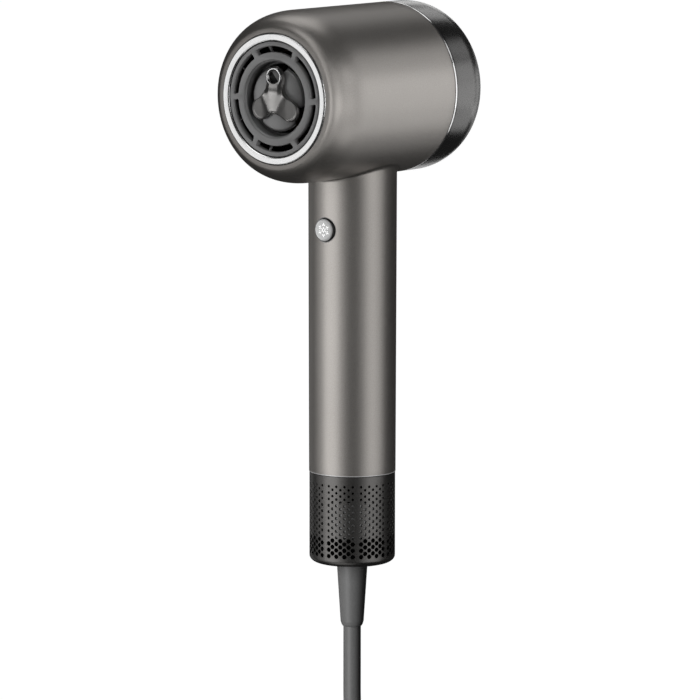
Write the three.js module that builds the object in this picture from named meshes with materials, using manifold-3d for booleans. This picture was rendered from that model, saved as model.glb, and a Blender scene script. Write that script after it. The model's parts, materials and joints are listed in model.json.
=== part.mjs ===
// A high-speed hair dryer: a round head on a straight handle, with its cord and plug.
// Millimetres, +Z up. The handle stands along Z, the air leaves the head towards -Y,
// and the origin is the middle of the hand grip on the handle's axis.
import * as THREE from 'three';
import { mergeVertices } from 'three/addons/utils/BufferGeometryUtils.js';
import Module from 'manifold-3d';

const wasm = await Module();
wasm.setup();

// ---- driving dimensions ----
const GAP = 0.3; // room between neighbouring pieces
const ROUND = { large: 36, medium: 24, small: 16, tiny: 10 }; // facets of a turned piece

const HEAD_Z = 108; // head axis above the grip
const HEAD_R = 37.7; // head radius
const FRONT_Y = -54.2; // front plane of the head
const SHOULDER = { along: 18.4, across: 6.6 }; // quarter ellipse at the front
const TRIM_Y = 25.3; // front edge of the rear trim ring
const TRIM_WIDTH = 1;
const CAP_STRAIGHT_Y = 37.3; // the rear cap starts to round off here
const CAP_ROUND = { along: 13, across: 9 };
const SHELL_WALL = 1.8;

const OUTLET = {
  ringOut: 28.5, ringIn: 25.3, ringY: -54.8, faceY: -54.1, slotIn: 20.3, slotOut: 22.9, recess: 16.2,
};
const SLEEVE_END_Y = -41.2; // inner end of the sleeve round the recess
const SLOTS = 6;
const BRIDGE = 2.3; // width of the bridges between the slots
const PETAL = { r: 14, dip: 2.4, y: -52.5, thick: 2 };
const ARM = { reach: 9.75, end: 4.65, waist: 6.2, y: -54.8, lens: 2.9 };

const HANDLE_R = 19.33; // handle radius at the grip
const HANDLE_TAPER = 0.0027; // radius gained per mm towards the head
const HANDLE_WALL = 1.6;
const HANDLE_END_Z = -60.65;
const NECK_HOLE = 16.3; // air opening between handle and head

const KEY_Z = 48.4; // height of both push buttons
const KEY_R = 4.75;
const USER_SIDE = 0; // turn about the handle: the side away from the outlet
const OUTLET_SIDE = Math.PI;
const SLIDER_Z = 22; // slider at rest
const SLIDE = 8; // travel of the slider

const CAGE = { r: 19.1, wall: 1.4, top: -60.95, bottom: -101.6, fillet: 4.5, hole: 7.2 };
const CAGE_SECTORS = 8;
const COLUMN_R = 6.6;
const GUARD = { top: 6.85, tip: 5.1, end: -130.6 };

const CORD_D = 7.8;
const CORD_R = CORD_D / 2;
const HANK_TURNS = 5;
const HANK_BEND = 24; // radius of the folds, to the cord's middle
const HANK_RUN = 87.6; // straight stretch between the folds
const HANK_TOP = -232; // height of the upper folds' centres
const TIE_WALL = 1.4;
const PLUG = { x: 34.5, y: -HANK_BEND, top: -286.2, guard: 23, width: 26, depth: 17, height: 32 };
const BLADE = { pitch: 12.7, width: 6.3, thick: 1.5, length: 17 };

// ---- solids: closed geometry, cut and joined ----
function plain(geometry) {
  geometry.deleteAttribute('normal');
  geometry.deleteAttribute('uv');
  const merged = mergeVertices(geometry, 1e-4);
  if (volume(merged) < 0) {
    const index = merged.index.array;
    for (let i = 0; i < index.length; i += 3) [index[i], index[i + 1]] = [index[i + 1], index[i]];
  }
  return merged;
}

function volume(geometry) {
  const [a, b, c] = [new THREE.Vector3(), new THREE.Vector3(), new THREE.Vector3()];
  const { array } = geometry.index;
  const points = geometry.attributes.position;
  let sum = 0;
  for (let i = 0; i < array.length; i += 3) {
    [a, b, c].forEach((v, k) => v.fromBufferAttribute(points, array[i + k]));
    sum += a.dot(b.cross(c)) / 6;
  }
  return sum;
}

function solid(geometry) {
  const closed = plain(geometry);
  const vertProperties = new Float32Array(closed.attributes.position.array);
  const triVerts = new Uint32Array(closed.index.array);
  return new wasm.Manifold(new wasm.Mesh({ numProp: 3, vertProperties, triVerts }));
}

function geometryOf(manifold) {
  const mesh = manifold.getMesh();
  const geometry = new THREE.BufferGeometry();
  geometry.setAttribute('position', new THREE.BufferAttribute(new Float32Array(mesh.vertProperties), 3));
  geometry.setIndex(new THREE.BufferAttribute(new Uint32Array(mesh.triVerts), 1));
  return geometry;
}

const cut = (base, ...tools) =>
  geometryOf(tools.reduce((left, tool) => left.subtract(solid(tool)), solid(base)));
const join = (first, ...more) =>
  geometryOf(more.reduce((sum, next) => sum.add(solid(next)), solid(first)));
const common = (a, b) => geometryOf(solid(a).intersect(solid(b)));

// ---- shapes ----
const toPoints = (profile) => profile.map(([r, h]) => new THREE.Vector2(r, h));

// turned about Y: the profile is a list of [radius, y]; open profiles start and end on the axis
function turnedY(profile, segments = ROUND.medium) {
  const onAxis = profile[0][0] === 0;
  const loop = onAxis ? profile : [...profile, profile[0]];
  return new THREE.LatheGeometry(toPoints(loop), segments);
}

// turned about Z: the profile is a list of [radius, z]
const turnedZ = (profile, segments = ROUND.medium) => turnedY(profile, segments).rotateX(Math.PI / 2);

const tubeProfile = (inner, outer, low, high) => [
  [inner, low], [outer, low], [outer, high], [inner, high],
];
const rodProfile = (radius, low, high) => [[0, low], [radius, low], [radius, high], [0, high]];

const box = (x, y, z, cx = 0, cy = 0, cz = 0) => new THREE.BoxGeometry(x, y, z).translate(cx, cy, cz);

// box between two corners
function block(low, high) {
  const size = high.map((v, i) => v - low[i]);
  const middle = high.map((v, i) => (v + low[i]) / 2);
  return box(...size, ...middle);
}

// quarter ellipse from one axis end to the other, as [across, along] offsets
function quarter(across, along, steps) {
  return Array.from({ length: steps + 1 }, (_, i) => {
    const a = (Math.PI / 2) * (i / steps);
    return [across * Math.cos(a), along * Math.sin(a)];
  });
}

// shape in X and Z, extruded along Y between two planes, its face towards -Y
function plateY(shape, low, high, curveSegments = 10) {
  const depth = high - low;
  const flat = new THREE.ExtrudeGeometry(shape, { depth, bevelEnabled: false, curveSegments });
  return flat.rotateX(Math.PI / 2).translate(0, high, 0);
}

function roundedRectangle(width, height, radius) {
  const [x, y] = [width / 2 - radius, height / 2 - radius];
  const shape = new THREE.Shape();
  shape.absarc(x, y, radius, 0, Math.PI / 2);
  shape.absarc(-x, y, radius, Math.PI / 2, Math.PI);
  shape.absarc(-x, -y, radius, Math.PI, 1.5 * Math.PI);
  shape.absarc(x, -y, radius, 1.5 * Math.PI, 2 * Math.PI);
  return shape;
}

function circleShape(radius, sides) {
  const points = Array.from({ length: sides }, (_, i) => {
    const a = (2 * Math.PI * i) / sides;
    return new THREE.Vector2(radius * Math.cos(a), radius * Math.sin(a));
  });
  return new THREE.Shape(points);
}

// round section swept along a smooth curve through the points
function swept(points, radius, steps, sides = 10) {
  const extrudePath = new THREE.CatmullRomCurve3(points.map((p) => new THREE.Vector3(...p)));
  return new THREE.ExtrudeGeometry(circleShape(radius, sides), { steps, extrudePath });
}

// ---- materials ----
const finish = (color, roughness, metalness) =>
  new THREE.MeshStandardMaterial({ color, roughness, metalness, flatShading: true });
const look = {
  paint: finish(0x857f7a, 0.38, 0.8),
  silver: finish(0xd5d5d3, 0.22, 1),
  bright: finish(0xe6e6e4, 0.1, 1),
  faceGrey: finish(0x6f6f6e, 0.5, 0.2),
  petal: finish(0x7c7c7a, 0.5, 0.6),
  darkChrome: finish(0x6a6866, 0.15, 1),
  capGloss: finish(0x2b2a29, 0.12, 0.3),
  cage: finish(0x34322f, 0.42, 0.5),
  mesh: finish(0x55534f, 0.5, 0.8),
  cord: finish(0x4b4b49, 0.6, 0),
  plastic: finish(0x2a2a2b, 0.55, 0),
  mica: finish(0xb7a98c, 0.7, 0),
  wire: finish(0x8f8a83, 0.35, 0.9),
  steel: finish(0xb4b4b2, 0.3, 1),
  copper: finish(0xb06a3a, 0.35, 0.9),
  rubber: finish(0x1e1e1f, 0.85, 0),
  board: finish(0x1f5a3a, 0.5, 0),
  brass: finish(0xc9a44c, 0.3, 1),
  lens: finish(0x16181c, 0.05, 0),
};

const group = new THREE.Group();
const head = new THREE.Group();
head.position.z = HEAD_Z;
group.add(head);

function add(parent, name, geometry, material) {
  const mesh = new THREE.Mesh(plain(geometry), material);
  mesh.name = name;
  parent.add(mesh);
}

// ---- head shell, trim and rear cap ----
const shoulderY = FRONT_Y + SHOULDER.along;

function headShell() {
  const lip = OUTLET.ringOut + GAP;
  const outer = quarter(SHOULDER.across, SHOULDER.along, 5)
    .map(([across, along]) => [HEAD_R - SHOULDER.across + across, shoulderY - along]);
  const inner = quarter(SHOULDER.across - 1, SHOULDER.along - 3, 3).reverse().map(([across, along]) => [
    HEAD_R - SHELL_WALL - SHOULDER.across + 1 + across, shoulderY - along,
  ]);
  const rear = TRIM_Y - GAP;
  const profile = [
    [HEAD_R, rear], ...outer, [lip, FRONT_Y], [lip, FRONT_Y + 3], ...inner, [HEAD_R - SHELL_WALL, rear],
  ];
  const neck = turnedZ(rodProfile(NECK_HOLE, -HEAD_R - 5, -20), ROUND.medium);
  return cut(turnedY(profile, ROUND.large), neck);
}

function rearCap() {
  const front = TRIM_Y + TRIM_WIDTH + GAP;
  const dome = (wall) => quarter(CAP_ROUND.across - wall / 2, CAP_ROUND.along - wall / 2, 5)
    .map(([across, along]) => [
      HEAD_R - CAP_ROUND.across - wall / 2 + across, CAP_STRAIGHT_Y + along - wall / 2,
    ]);
  const outer = dome(0);
  const inner = dome(2).reverse();
  return turnedY([
    [0, inner[0][1]], ...inner, [HEAD_R - 2, front], [HEAD_R, front], ...outer, [0, outer.at(-1)[1]],
  ], ROUND.large);
}

add(head, 'head_shell', headShell(), look.paint);
const rearTrim = turnedY(tubeProfile(HEAD_R - 1.4, HEAD_R, TRIM_Y, TRIM_Y + TRIM_WIDTH), ROUND.large);
add(head, 'rear_trim_ring', rearTrim, look.bright);
add(head, 'rear_cap', rearCap(), look.capGloss);

// ---- air outlet ----
function outletRing() {
  const { ringIn, ringOut, ringY } = OUTLET;
  return turnedY([
    [ringIn, ringY + 2.6], [ringIn + 0.3, ringY + 0.9], [ringIn + 1.2, ringY], [ringOut - 0.8, ringY],
    [ringOut, ringY + 0.7], [ringOut, ringY + 5], [ringIn, ringY + 5],
  ], ROUND.large);
}

function outletGrille() {
  const { faceY, slotIn, slotOut, recess, ringIn } = OUTLET;
  const rim = ringIn - GAP;
  const sleeve = recess + 0.9;
  const face = turnedY([
    [recess + 0.8, faceY], [rim - 0.4, faceY], [rim, faceY + 0.6], [rim, faceY + 3], [sleeve, faceY + 3],
    [sleeve, SLEEVE_END_Y], [recess, SLEEVE_END_Y], [recess, faceY + 1.2],
  ], ROUND.large);
  const half = Math.PI / SLOTS - BRIDGE / (slotIn + slotOut);
  const slots = Array.from({ length: SLOTS }, (_, i) => {
    const middle = (2 * Math.PI * (i + 0.5)) / SLOTS;
    const shape = new THREE.Shape();
    shape.absarc(0, 0, slotOut, middle - half, middle + half);
    shape.absarc(0, 0, slotIn, middle + half, middle - half, true);
    return plateY(shape, faceY - 1, faceY + 4, 5);
  });
  return cut(face, ...slots);
}

// a small hub on three arms that reach the recess wall
function outletHub() {
  const arms = [0, 1, 2].map((i) =>
    box(9.4, 2.4, 1.6, 11.1, -42.2, 0).rotateY((-Math.PI / 180) * (90 + 120 * i)));
  return join(turnedY(rodProfile(7, PETAL.y + PETAL.thick + GAP, -41), ROUND.small), ...arms);
}

// three round lobes, one of them down
function petalDisc() {
  const points = Array.from({ length: 42 }, (_, i) => {
    const a = (2 * Math.PI * i) / 42;
    const r = PETAL.r - (PETAL.dip * (1 - Math.cos(3 * (a + Math.PI / 2)))) / 2;
    return new THREE.Vector2(r * Math.cos(a), r * Math.sin(a));
  });
  return plateY(new THREE.Shape(points), PETAL.y, PETAL.y + PETAL.thick);
}

// three broad arms, one of them up, whose flanks meet in hollow waists
function sensorCover() {
  const shape = new THREE.Shape();
  const at = (a, r) => [r * Math.cos(a), r * Math.sin(a)];
  const third = (2 * Math.PI) / 3;
  const sweep = 1.45;
  for (let i = 0; i < 3; i += 1) {
    const a = Math.PI / 2 + third * i;
    shape.absarc(...at(a, ARM.reach), ARM.end, a - sweep, a + sweep);
    const [x, y] = at(a + third, ARM.reach);
    const end = at(a + third - sweep, ARM.end);
    shape.quadraticCurveTo(...at(a + third / 2, ARM.waist - 1.7), x + end[0], y + end[1]);
  }
  const back = PETAL.y - GAP;
  const hole = new THREE.CylinderGeometry(ARM.lens + GAP, ARM.lens + GAP, 12, ROUND.small);
  return cut(plateY(shape, ARM.y, back, 6), hole.translate(0, ARM.y, ARM.reach));
}

add(head, 'outlet_trim_ring', outletRing(), look.silver);
add(head, 'outlet_grille', outletGrille(), look.faceGrey);
add(head, 'outlet_hub', outletHub(), look.plastic);
add(head, 'petal_diffuser', petalDisc(), look.petal);
add(head, 'sensor_cover', sensorCover(), look.darkChrome);
const lens = turnedY(rodProfile(ARM.lens, ARM.y + GAP, PETAL.y - GAP), ROUND.small);
add(head, 'sensor_lens', lens.translate(0, 0, ARM.reach), look.lens);

// ---- heater, bulkheads and electronics in the head ----
const SLEEVE = { inner: 20.2, outer: 21.2, front: -40.5, rear: -13 };
const COIL_R = 18.6;
const COIL_WIRE = 0.6;

function heatingCoil() {
  const turns = 5;
  const perTurn = 12;
  const pitch = 4.4;
  const points = Array.from({ length: turns * perTurn + 1 }, (_, i) => {
    const a = (2 * Math.PI * i) / perTurn;
    return [COIL_R * Math.cos(a), -37 + (pitch * i) / perTurn, COIL_R * Math.sin(a)];
  });
  return swept(points, COIL_WIRE, turns * perTurn, 4);
}

function rearBulkhead() {
  const plate = turnedY(rodProfile(35.5, 20, 22), ROUND.medium);
  return join(plate, ...SCREW_ANGLES.map((a) => bossAt(a)));
}

const SCREW_ANGLES = [90, 210, 330].map((degrees) => (degrees * Math.PI) / 180);
const SCREW_CIRCLE = 23;
const onCircle = (geometry, a) =>
  geometry.translate(SCREW_CIRCLE * Math.cos(a), 0, SCREW_CIRCLE * Math.sin(a));
const bossAt = (a) => onCircle(turnedY(tubeProfile(1.3, 2.6, 21.9, 25.7), ROUND.tiny), a);
const screw = () => turnedY([[0, 22.8], [1, 22.8], [1, 27.5], [2, 27.5], [2, 28.7], [0, 28.7]], ROUND.tiny);

function controlBoard() {
  const holes = SCREW_ANGLES.map((a) => onCircle(turnedY(rodProfile(1.3, 25, 28), ROUND.tiny), a));
  return cut(turnedY(rodProfile(28, 26, 27.2), ROUND.medium), ...holes);
}

const bulkhead = turnedY(tubeProfile(SLEEVE.outer + GAP, 35.5, -18, -16), ROUND.medium);
add(head, 'front_bulkhead', bulkhead, look.plastic);
add(head, 'heater_sleeve',
  turnedY(tubeProfile(SLEEVE.inner, SLEEVE.outer, SLEEVE.front, SLEEVE.rear), ROUND.medium), look.mica);
add(head, 'heater_frame',
  join(box(35, 24, 0.8, 0, -27, 0), box(0.8, 24, 35, 0, -27, 0)), look.mica);
add(head, 'heating_coil', heatingCoil(), look.wire);
add(head, 'thermal_cutoff', turnedY(rodProfile(2, -31, -21), ROUND.tiny).translate(7, 0, -7), look.steel);
add(head, 'ion_generator', block([-10, -35, 24], [10, -19, 32]), look.plastic);
add(head, 'rear_bulkhead', rearBulkhead(), look.plastic);
add(head, 'control_board', controlBoard(), look.board);
add(head, 'main_capacitor', turnedY(rodProfile(6, 27.5, 43), ROUND.small).translate(-12, 0, 6), look.plastic);
add(head, 'driver_module', block([4, 27.5, -8], [18, 31, 6]), look.plastic);
SCREW_ANGLES.forEach((a, i) => add(head, `board_screw_${i + 1}`, onCircle(screw(), a), look.steel));

// ---- handle ----
const handleRadius = (z) => HANDLE_R + HANDLE_TAPER * z;

function handleShell() {
  const top = HEAD_Z - 28;
  const tube = turnedZ([
    [handleRadius(HANDLE_END_Z) - HANDLE_WALL, HANDLE_END_Z], [handleRadius(HANDLE_END_Z), HANDLE_END_Z],
    [handleRadius(top), top], [handleRadius(top) - HANDLE_WALL, top],
  ], ROUND.large);
  const saddle = turnedY(rodProfile(HEAD_R + GAP, -40, 40), ROUND.large).translate(0, 0, HEAD_Z);
  const keyHole = turnedY(rodProfile(KEY_R + 0.5, 10, 30), ROUND.small);
  const key = (side) => keyHole.clone().rotateZ(side).translate(0, 0, KEY_Z);
  const track = plateY(roundedRectangle(6.6, 12.6 + SLIDE, 3.2), 10, 30)
    .translate(0, 0, SLIDER_Z + SLIDE / 2);
  const led = turnedY(rodProfile(1.6, 10, 30), ROUND.tiny).translate(0, 0, 62);
  return cut(tube, saddle, key(OUTLET_SIDE), key(USER_SIDE), track, led);
}

// button: outer cap, then a wider collar inside the wall
function keyCap(side) {
  const profile = [[0, 15.7], [5.9, 15.7], [5.9, 16.4], [KEY_R, 16.4], [KEY_R, 20.4], [4.2, 20.9], [0, 20.9]];
  return turnedY(profile, ROUND.small).rotateZ(side).translate(0, 0, KEY_Z);
}

// a curved slider with a shoe that runs inside the wall
function slider() {
  const knob = plateY(roundedRectangle(6, 12, 3), 16.2, 20.7);
  const shoe = box(8.6, 0.9, 13, 0, 15.8, 0);
  return join(knob, shoe).translate(0, 0, SLIDER_Z);
}

function airDuct() {
  return turnedZ([
    [10.4, 10], [11.6, 10], [11.6, 64], [15.4, 78], [15.4, 83], [14.2, 83], [14.2, 78.4], [10.4, 64.4],
  ], ROUND.medium);
}

const tactSwitch = (side) => block([-3, 13.2, KEY_Z - 3], [3, 14.1, KEY_Z + 3]).rotateZ(side);
const keyBoard = (side, low, high) => block([-6, 12.1, low], [6, 12.9, high]).rotateZ(side);

add(group, 'handle_shell', handleShell(), look.paint);
add(group, 'air_duct', airDuct(), look.plastic);
add(group, 'cool_shot_button', keyCap(OUTLET_SIDE), look.silver);
add(group, 'cool_shot_switch', tactSwitch(OUTLET_SIDE), look.plastic);
add(group, 'front_key_board', keyBoard(OUTLET_SIDE, 40, 58), look.board);
add(group, 'temperature_button', keyCap(USER_SIDE), look.silver);
add(group, 'temperature_switch', tactSwitch(USER_SIDE), look.plastic);
add(group, 'rear_key_board', keyBoard(USER_SIDE, 12, 66), look.board);
add(group, 'power_slider', slider(), look.silver);
add(group, 'slider_switch', block([-3, 13.2, 16], [3, 14.9, 36]), look.plastic);
add(group, 'status_lens', turnedY(rodProfile(1.3, 13.2, 19.4), ROUND.tiny).translate(0, 0, 62), look.lens);

// ---- motor, from the damper sleeve inwards ----
const VANES = 7;
const BLADES = 7;
const SHAFT_R = 1.45;
const AIRWAY = { inner: 8.3, outer: 12.2 };

function around(count, make) {
  return Array.from({ length: count }, (_, i) => make().rotateZ((2 * Math.PI * i) / count));
}

function motorShell() {
  const tube = turnedZ(tubeProfile(AIRWAY.outer, 13.5, -26.5, 7), ROUND.medium);
  const hub = turnedZ([
    [4.2, -10], [AIRWAY.inner, -10], [AIRWAY.inner, 5.5], [4.2, 5.5], [4.2, 1.7], [7.3, 1.7],
    [7.3, -6.6], [4.2, -6.6],
  ], ROUND.medium);
  const vane = () => box(4.6, 0.8, 9, 10.2, 0, 0).rotateX(0.3).translate(0, 0, -2);
  return join(tube, hub, ...around(VANES, vane));
}

function impeller() {
  const hub = turnedZ([
    [SHAFT_R + 0.1, -23], [3.2, -23], [6.4, -16], [7.8, -11.2], [SHAFT_R + 0.1, -11.2],
  ], ROUND.small);
  const blade = () => box(7.6, 0.8, 12, 8.2, 0, 0).rotateX(0.55).translate(0, 0, -17);
  const bladeRoom = turnedZ([[3, -22.5], [11.8, -22.5], [11.8, -11.6], [7, -11.6], [5.6, -16]], ROUND.medium);
  const blades = around(BLADES, () => common(blade(), bladeRoom));
  return join(hub, ...blades);
}

add(group, 'motor_sleeve', turnedZ(tubeProfile(13.8, 17.3, -25, 6), ROUND.medium), look.rubber);
add(group, 'motor_shell', motorShell(), look.steel);
add(group, 'stator_core', turnedZ(tubeProfile(4, 7, -4.3, -0.6), ROUND.small), look.steel);
add(group, 'winding_upper', turnedZ(tubeProfile(4.4, 6.8, -0.3, 1.4), ROUND.small), look.copper);
add(group, 'winding_lower', turnedZ(tubeProfile(4.4, 6.8, -6.3, -4.6), ROUND.small), look.copper);
add(group, 'bearing_upper', turnedZ(tubeProfile(1.8, 3.9, 2, 4.8), ROUND.small), look.steel);
add(group, 'bearing_lower', turnedZ(tubeProfile(1.8, 3.9, -9.7, -6.9), ROUND.small), look.steel);
add(group, 'rotor_magnet', turnedZ(tubeProfile(SHAFT_R + 0.1, 3.5, -6, 1.2), ROUND.small), look.steel);
add(group, 'motor_shaft', turnedZ(rodProfile(SHAFT_R, -22.6, 6.4), ROUND.tiny), look.steel);
add(group, 'impeller', impeller(), look.steel);
add(group, 'intake_bell', turnedZ([
  [12.3, -26.9], [17.2, -26.9], [17.2, -33], [16.4, -33], [14, -28.6], [12.3, -27.7],
], ROUND.medium), look.plastic);

// ---- foot of the handle: power board, inlet base and intake filter ----
function inletBase() {
  const collar = turnedZ(tubeProfile(15.3, 17.2, -61, -57), ROUND.medium);
  const spigot = turnedZ(tubeProfile(15.3, 16.4, -70, -60.9), ROUND.medium);
  const spokes = around(4, () => box(10, 2, 4, 10.8, 0, -68));
  const column = turnedZ(tubeProfile(CORD_R + 0.4, COLUMN_R, -96.2, -59), ROUND.small);
  return join(collar, spigot, column, ...spokes);
}

function filterCage() {
  const { r, wall, top, bottom, fillet, hole } = CAGE;
  const corner = quarter(fillet, fillet, 4)
    .map(([across, along]) => [r - fillet + across, bottom + fillet - along]);
  const shell = turnedZ([
    [r - wall, top], [r, top], ...corner, [hole, bottom], [hole, bottom + 2],
    [r - fillet, bottom + 2], [r - wall, bottom + fillet],
  ], ROUND.large);
  const slotsPerSector = 2;
  const slots = Array.from({ length: CAGE_SECTORS * slotsPerSector }, (_, i) => {
    const sector = Math.floor(i / slotsPerSector);
    const degrees = (360 / CAGE_SECTORS) * (sector + 0.5) + 16 * ((i % slotsPerSector) - 0.5);
    return box(6, 3.4, 30, r, 0, -82).rotateZ((degrees * Math.PI) / 180);
  });
  return cut(shell, ...slots);
}

function cordGuard() {
  const bore = CORD_R + 0.35;
  return turnedZ([
    [bore, -96.5], [8.6, -96.5], [8.6, -99.6], [GUARD.top, -99.6], [GUARD.top, CAGE.bottom - 0.4],
    [GUARD.tip, GUARD.end + 2], [GUARD.tip - 0.6, GUARD.end], [bore, GUARD.end],
  ], ROUND.small);
}

add(group, 'power_board', block([-12.5, -0.6, -56], [12.5, 0.6, -36]), look.board);
add(group, 'choke_coil',
  turnedY([[3, 0.9], [6.5, 0.9], [7, 2.4], [6.5, 4], [3, 4], [2.5, 2.4]], ROUND.small).translate(0, 0, -46),
  look.copper);
add(group, 'inlet_base', inletBase(), look.plastic);
add(group, 'inner_lead', turnedZ(rodProfile(CORD_R, GUARD.end, -57), ROUND.tiny), look.cord);
add(group, 'filter_cage', filterCage(), look.cage);
add(group, 'filter_top_ring', turnedZ(tubeProfile(16.8, 17.2, -63.8, -62.3), ROUND.medium), look.steel);
add(group, 'filter_mesh', turnedZ(tubeProfile(16.8, 17.2, -97, -64.2), ROUND.medium), look.mesh);
add(group, 'cord_guard', cordGuard(), look.cord);

// ---- cord: straight down, an easy bend into the hank, and the tail to the plug ----
const leadRoute = [
  [0, 0, GUARD.end - GAP], [0, 0, -140], [0, 0, -150], [0, 0, -160], [0, 0, -168], [-0.7, -0.8, -176.2],
  [-2.6, -3.2, -184], [-5.7, -7, -190.7], [-9.8, -12, -196], [-13.8, -17, -201.2],
  [-16.2, -20, -206.2],
];
const tailRoute = [
  [28.3, -24, -259], [31.1, -24, -263.3], [33.6, -24, -270.4], [34.5, -24, -277.9],
  [34.5, -24, PLUG.top + GAP],
];

// outline of all the turns together, extruded across them
function hankSolid() {
  const half = HANK_BEND + CORD_R;
  const shape = new THREE.Shape();
  shape.absarc(0, 0, half, 0, Math.PI);
  shape.absarc(0, -HANK_RUN, half, Math.PI, 2 * Math.PI);
  const depth = (HANK_TURNS + 1) * CORD_D;
  const flat = new THREE.ExtrudeGeometry(shape, { depth, bevelEnabled: false, curveSegments: 12 });
  return flat.rotateX(Math.PI / 2).rotateZ(Math.PI / 2).translate(-depth / 2, 0, HANK_TOP);
}

function hankTie() {
  const width = (HANK_TURNS + 1) * CORD_D + 2 * GAP;
  const depth = 2 * (HANK_BEND + CORD_R) + 2 * GAP;
  const outer = roundedRectangle(width + 2 * TIE_WALL, depth + 2 * TIE_WALL, 4);
  outer.holes.push(roundedRectangle(width, depth, 0.6));
  const band = new THREE.ExtrudeGeometry(outer, { depth: 9, bevelEnabled: false, curveSegments: 4 });
  return band.translate(0, 0, HANK_TOP - HANK_RUN / 2 - 4.5);
}

const atPlug = (geometry) => geometry.translate(PLUG.x, PLUG.y, PLUG.top);

function plugBody() {
  const profile = roundedRectangle(PLUG.depth, PLUG.width, 6);
  const body = new THREE.ExtrudeGeometry(profile, {
    depth: PLUG.height - 5, bevelEnabled: true, bevelThickness: 2.5, bevelSize: 2.5, bevelOffset: -2.5,
    bevelSegments: 2, curveSegments: 5,
  });
  return atPlug(body.translate(0, 0, -PLUG.guard - GAP - PLUG.height + 2.5));
}

function plugBlade(side) {
  const top = -PLUG.guard - PLUG.height - 2 * GAP;
  const y = (side * BLADE.pitch) / 2;
  return atPlug(block(
    [-BLADE.width / 2, y - BLADE.thick / 2, top - BLADE.length], [BLADE.width / 2, y + BLADE.thick / 2, top],
  ));
}

add(group, 'cord_lead', swept(leadRoute, CORD_R, 12), look.cord);
add(group, 'cord_hank', hankSolid(), look.cord);
add(group, 'cord_tail', swept(tailRoute, CORD_R, 6), look.cord);
add(group, 'hank_tie', hankTie(), look.rubber);
add(group, 'plug_guard',
  atPlug(turnedZ([[0, -PLUG.guard], [6.6, -PLUG.guard], [4.9, 0], [0, 0]], ROUND.small)), look.cord);
add(group, 'plug_body', plugBody(), look.plastic);
add(group, 'plug_blade_left', plugBlade(-1), look.brass);
add(group, 'plug_blade_right', plugBlade(1), look.brass);

export default group;
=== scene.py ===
"""Looks of the hair dryer: smooth shells, a real perforated cage, the cord as a hank, and studio light."""

import json
import math

import bmesh
import bpy
from mathutils import Matrix, Vector

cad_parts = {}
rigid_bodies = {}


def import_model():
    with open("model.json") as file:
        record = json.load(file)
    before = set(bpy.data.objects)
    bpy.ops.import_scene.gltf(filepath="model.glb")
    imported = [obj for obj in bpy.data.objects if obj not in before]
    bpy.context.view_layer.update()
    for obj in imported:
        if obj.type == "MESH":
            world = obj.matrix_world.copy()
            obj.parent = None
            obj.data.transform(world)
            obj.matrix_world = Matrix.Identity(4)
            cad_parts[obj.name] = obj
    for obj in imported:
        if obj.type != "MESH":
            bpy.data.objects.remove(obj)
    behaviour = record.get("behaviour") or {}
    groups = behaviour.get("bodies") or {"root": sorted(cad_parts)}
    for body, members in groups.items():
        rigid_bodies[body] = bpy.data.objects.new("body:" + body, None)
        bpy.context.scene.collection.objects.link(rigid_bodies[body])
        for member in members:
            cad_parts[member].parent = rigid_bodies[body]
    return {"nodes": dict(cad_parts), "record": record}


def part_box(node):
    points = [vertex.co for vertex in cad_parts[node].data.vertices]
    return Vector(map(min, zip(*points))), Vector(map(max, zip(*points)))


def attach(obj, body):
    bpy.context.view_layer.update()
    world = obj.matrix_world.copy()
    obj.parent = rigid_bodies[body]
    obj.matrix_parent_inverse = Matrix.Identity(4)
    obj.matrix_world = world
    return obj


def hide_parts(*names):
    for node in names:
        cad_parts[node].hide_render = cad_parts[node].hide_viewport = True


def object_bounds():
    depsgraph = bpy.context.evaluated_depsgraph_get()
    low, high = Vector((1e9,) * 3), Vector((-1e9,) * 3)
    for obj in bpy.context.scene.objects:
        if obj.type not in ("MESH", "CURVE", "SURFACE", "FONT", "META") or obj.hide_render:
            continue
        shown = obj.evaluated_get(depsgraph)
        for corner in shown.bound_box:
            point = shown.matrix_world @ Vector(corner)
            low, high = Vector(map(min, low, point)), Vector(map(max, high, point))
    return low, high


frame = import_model()
cad_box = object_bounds()
MM = 0.001
HEAD_Z = 0.5 * (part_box("rear_cap")[0].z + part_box("rear_cap")[1].z) / MM


def add_object(name, data):
    """New object in the scene, with this mesh, curve, light or camera."""
    made = bpy.data.objects.new(name, data)
    bpy.context.collection.objects.link(made)
    return made


# ---- camera: the picture's view, from the front right and a little above ----
VIEW_AZIMUTH = math.radians(38.71)
VIEW_ELEVATION = math.radians(7.85)
VIEW_ROLL = math.radians(0.063)
VIEW_DISTANCE = 2.361
VIEW_TARGET = Vector((-1.39, 0, HEAD_Z - 115.05)) * MM
VIEW_LENS = 274.7
VIEW_SENSOR = 36
VIEW_REACH = 100


def direction(azimuth, elevation):
    """Unit vector from the dryer to a viewer; azimuth 0 is in front of the outlet, 90 is +X."""
    level = math.cos(elevation)
    return Vector((math.sin(azimuth) * level, -math.cos(azimuth) * level, math.sin(elevation)))


def make_camera():
    data = bpy.data.cameras.new("view")
    data.lens = VIEW_LENS
    data.sensor_width = VIEW_SENSOR
    data.clip_end = VIEW_REACH
    camera = add_object("view", data)
    outward = direction(VIEW_AZIMUTH, VIEW_ELEVATION)
    camera.location = VIEW_TARGET + outward * VIEW_DISTANCE
    roll = Matrix.Rotation(VIEW_ROLL, 3, "Z")
    camera.rotation_euler = (outward.to_track_quat("Z", "Y").to_matrix() @ roll).to_euler()
    bpy.context.scene.camera = camera


make_camera()


# ---- materials; bump depth and split softness are in metres ----
BROAD_GRAIN = 28
BUMP_DEPTH = 0.00008
COAT_ROUGHNESS = 0.08
SPLIT_SOFTNESS = 0.0001


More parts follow.
